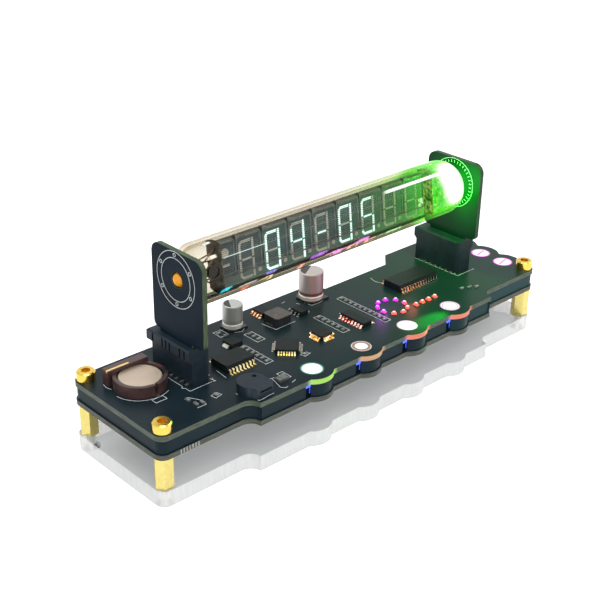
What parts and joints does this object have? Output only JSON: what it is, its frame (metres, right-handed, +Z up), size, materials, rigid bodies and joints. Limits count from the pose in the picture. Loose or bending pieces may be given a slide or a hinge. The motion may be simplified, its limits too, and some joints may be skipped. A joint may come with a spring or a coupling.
{
  "type": "vacuum fluorescent tube desk clock",
  "caption": "Desk clock with a horizontal vacuum fluorescent display tube held between two upright circuit boards over a scalloped board stack on brass standoffs and a clear base",
  "frame": {"origin": "middle of the underside of the clear base, on the surface the clock stands on", "axes": "X runs along the clock to its right end, Y runs from the front with the touch pads to the back, Z is up"},
  "size_m": [0.1631, 0.0472, 0.0617],
  "materials": {
    "clear_acrylic": "clear cast acrylic with laser-cut, slightly frosted edges",
    "brass": "plain turned brass, pale gold",
    "board_mask": "dark blue-grey solder mask on fibreglass with pale green edges",
    "dark_spacer": "dark matt fibreglass spacer",
    "tin_plate": "bright tinned metal",
    "gold_plate": "gold-plated leads",
    "black_plastic": "moulded black plastic, half matt",
    "brown_plastic": "moulded brown-black plastic",
    "chip_plastic": "black moulding compound",
    "cell_steel": "nickel-plated steel, brushed round",
    "can_aluminium": "bright aluminium can",
    "inductor_ferrite": "moulded ferrite, matt grey",
    "ceramic_chip": "ceramic chip parts with tinned ends",
    "pad_glow": "translucent white, lit from below",
    "blue_glow": "side-shining blue lamp",
    "magenta_glow": "small lit lamps",
    "green_glow": "lit lamp at the end of the tube",
    "tube_glass": "clear drawn glass tube",
    "amber_glass": "sealed glass tip, amber",
    "lead_wire": "fine nickel wire",
    "mica": "mica sheet with bright metal rails",
    "anode_ceramic": "dark matt ceramic plate",
    "phosphor_lit": "glowing blue-green phosphor",
    "phosphor_dark": "unlit pale grey phosphor",
    "grid_metal": "fine dark metal mesh",
    "getter_black": "black getter film on metal"
  },
  "bodies": {
    "stand": {"acrylic_base": "clear_acrylic", "base_screws": "brass", "standoffs": "brass", "bottom_board": "board_mask", "edge_contacts": "tin_plate", "spacer_plate": "dark_spacer", "pad_leds": "pad_glow", "edge_leds": "blue_glow", "power_inlet": "tin_plate", "top_board": "board_mask", "pad_windows": "pad_glow", "top_screws": "brass", "left_socket": "black_plastic", "left_socket_feet": "tin_plate", "right_socket": "black_plastic", "right_socket_feet": "tin_plate", "cell_holder": "brown_plastic", "cell_hook": "black_plastic", "cell_contact": "gold_plate", "cell_spring": "tin_plate", "small_capacitor_base": "black_plastic", "small_capacitor_can": "can_aluminium", "large_capacitor_base": "black_plastic", "large_capacitor_can": "can_aluminium", "power_inductor": "inductor_ferrite", "boost_chip": "chip_plastic", "boost_chip_leads": "gold_plate", "transistor": "chip_plastic", "transistor_leads": "tin_plate", "rectifier": "chip_plastic", "rectifier_tabs": "gold_plate", "clock_chip": "chip_plastic", "clock_chip_leads": "gold_plate", "buzzer": "black_plastic", "microcontroller": "chip_plastic", "microcontroller_leads": "gold_plate", "interface_chip": "chip_plastic", "interface_chip_leads": "gold_plate", "logic_chip": "chip_plastic", "logic_chip_leads": "tin_plate", "display_driver": "chip_plastic", "display_driver_leads": "tin_plate", "indicator_leds": "magenta_glow", "chip_resistors": "ceramic_chip", "crystal": "tin_plate"},
    "display": {"left_post": "board_mask", "right_post": "board_mask", "tube_glass": "tube_glass", "exhaust_tip": "amber_glass", "lead_wires": "lead_wire", "support_frame": "mica", "anode_plate": "anode_ceramic", "lit_segments": "phosphor_lit", "dark_segments": "phosphor_dark", "control_grids": "grid_metal", "filaments": "lead_wire", "end_light": "green_glow", "getter": "getter_black"},
    "cell": {"coin_cell": "cell_steel"}
  },
  "joints": [
    {"name": "display_lift", "type": "slide", "parent": "stand", "child": "display", "axis": [0, 0, 1], "range_m": [0, 0.014]},
    {"name": "cell_tilt", "type": "hinge", "parent": "stand", "child": "cell", "pos_m": [-0.06885, 0.0141, 0.0247], "axis": [-1, 0, 0], "range_deg": [0, 18]}
  ]
}
